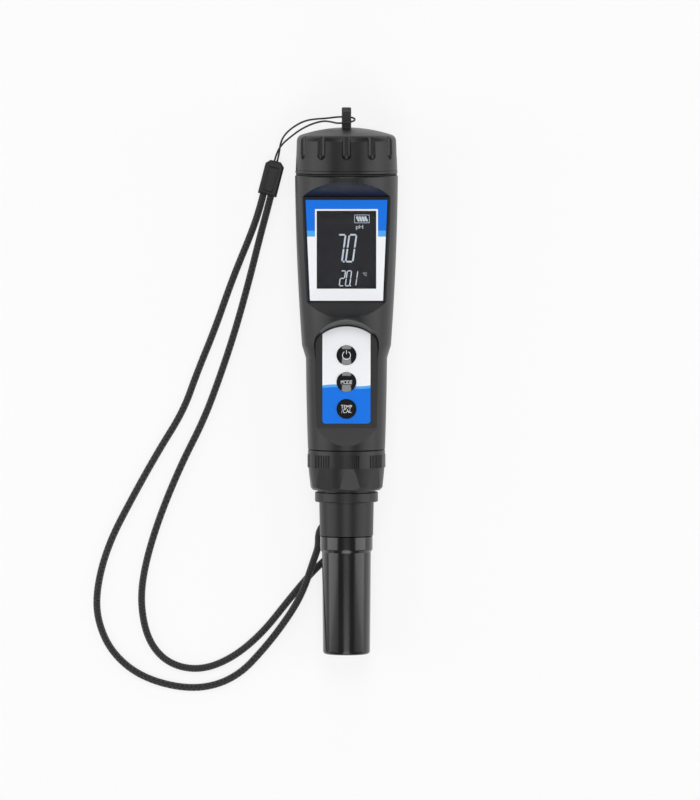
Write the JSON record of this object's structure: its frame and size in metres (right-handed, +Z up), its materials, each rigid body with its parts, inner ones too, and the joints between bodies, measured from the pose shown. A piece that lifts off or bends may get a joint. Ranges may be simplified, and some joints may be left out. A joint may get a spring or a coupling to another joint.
{
  "type": "ph meter pen",
  "caption": "Pen-type water tester with a display recess, round keys, fluted battery cap with wrist lanyard, lock collar and plug-in probe under a push-on cap.",
  "frame": {"origin": "middle of the pen's length and width, at the level of the table it lies on, measured without the lanyard", "axes": "+Y along the pen towards the battery cap and its eye, +Z up out of the display, +X to the right as the display is read"},
  "size_m": [0.1129, 0.2162, 0.0388],
  "materials": {
    "black_plastic": "satin moulded ABS",
    "gloss_black": "polished black plastic",
    "label": "printed polycarbonate film",
    "window": "clear window",
    "panel": "dark display glass",
    "white_plastic": "diffuser plastic",
    "board": "solder resist",
    "component": "moulded epoxy",
    "steel": "plated steel",
    "gold": "gold plate",
    "cell": "wrapped cell",
    "rubber": "moulded silicone",
    "bulb_glass": "thin sensing glass",
    "ceramic": "porous ceramic",
    "graphite": "graphite",
    "sponge": "soft sponge",
    "cord": "braided polyester"
  },
  "bodies": {
    "housing": {"housing": "black_plastic", "display_window": "window", "display_label": "label", "display_panel": "panel", "display_carrier": "white_plastic", "keypad_label": "label", "keypad_seal": "rubber", "tactile_switches": "component", "main_board": "board", "board_screws": "steel", "board_components": "component", "battery_tray": "black_plastic", "battery_cell_left": "cell", "battery_cell_right": "cell", "tray_contacts": "steel", "contact_plate": "steel", "neck_seal_ring": "rubber", "probe_socket": "component"},
    "cap_ring": {"cap_ring": "black_plastic", "cap_gasket": "rubber"},
    "battery_cap": {"battery_cap": "black_plastic", "lanyard_eye": "black_plastic", "lanyard_string": "cord", "lanyard_clip": "black_plastic", "wrist_cord": "cord"},
    "probe": {"probe_body": "black_plastic", "stop_ring": "black_plastic", "probe_pins": "gold", "probe_seal_ring": "rubber", "ph_bulb": "bulb_glass", "reference_junction": "ceramic", "conductivity_pins": "graphite", "temperature_sensor": "steel", "probe_cap_seal": "rubber"},
    "lock_collar": {"lock_collar": "black_plastic"},
    "probe_cap": {"probe_cap": "gloss_black", "soaking_sponge": "sponge"},
    "power_button": {"power_button": "gloss_black"},
    "mode_button": {"mode_button": "gloss_black"},
    "calibration_button": {"calibration_button": "gloss_black"}
  },
  "joints": [
    {"name": "cap_unscrew", "type": "hinge", "parent": "cap_ring", "child": "battery_cap", "pos_m": [0, 0.08099, 0.02006], "axis": [0, 0.9987, 0.05], "range_deg": [0, 720]},
    {"name": "cap_advance", "type": "slide", "parent": "housing", "child": "cap_ring", "axis": [0, 0.9987, 0.05], "range_m": [0, 0.003]},
    {"name": "collar_unscrew", "type": "hinge", "parent": "probe", "child": "lock_collar", "pos_m": [0, -0.03087, 0.01446], "axis": [0, -0.9987, -0.05], "range_deg": [0, 1080]},
    {"name": "probe_release", "type": "slide", "parent": "housing", "child": "probe", "axis": [0, -0.9987, -0.05], "range_m": [0, 0.006]},
    {"name": "probe_cap_pull", "type": "slide", "parent": "probe", "child": "probe_cap", "axis": [0, -0.9987, -0.05], "range_m": [0, 0.05]},
    {"name": "power_press", "type": "slide", "parent": "housing", "child": "power_button", "axis": [0, 0.05, -0.9987], "range_m": [0, 0.00035], "stiffness_N_per_m": 400},
    {"name": "mode_press", "type": "slide", "parent": "housing", "child": "mode_button", "axis": [0, 0.05, -0.9987], "range_m": [0, 0.00035], "stiffness_N_per_m": 400},
    {"name": "calibration_press", "type": "slide", "parent": "housing", "child": "calibration_button", "axis": [0, 0.05, -0.9987], "range_m": [0, 0.00035], "stiffness_N_per_m": 400}
  ],
  "couplings": [
    {"joint": "cap_unscrew", "follows": "cap_advance", "rad_per_m": 4188.8},
    {"joint": "collar_unscrew", "follows": "probe_release", "rad_per_m": 3141.6}
  ]
}
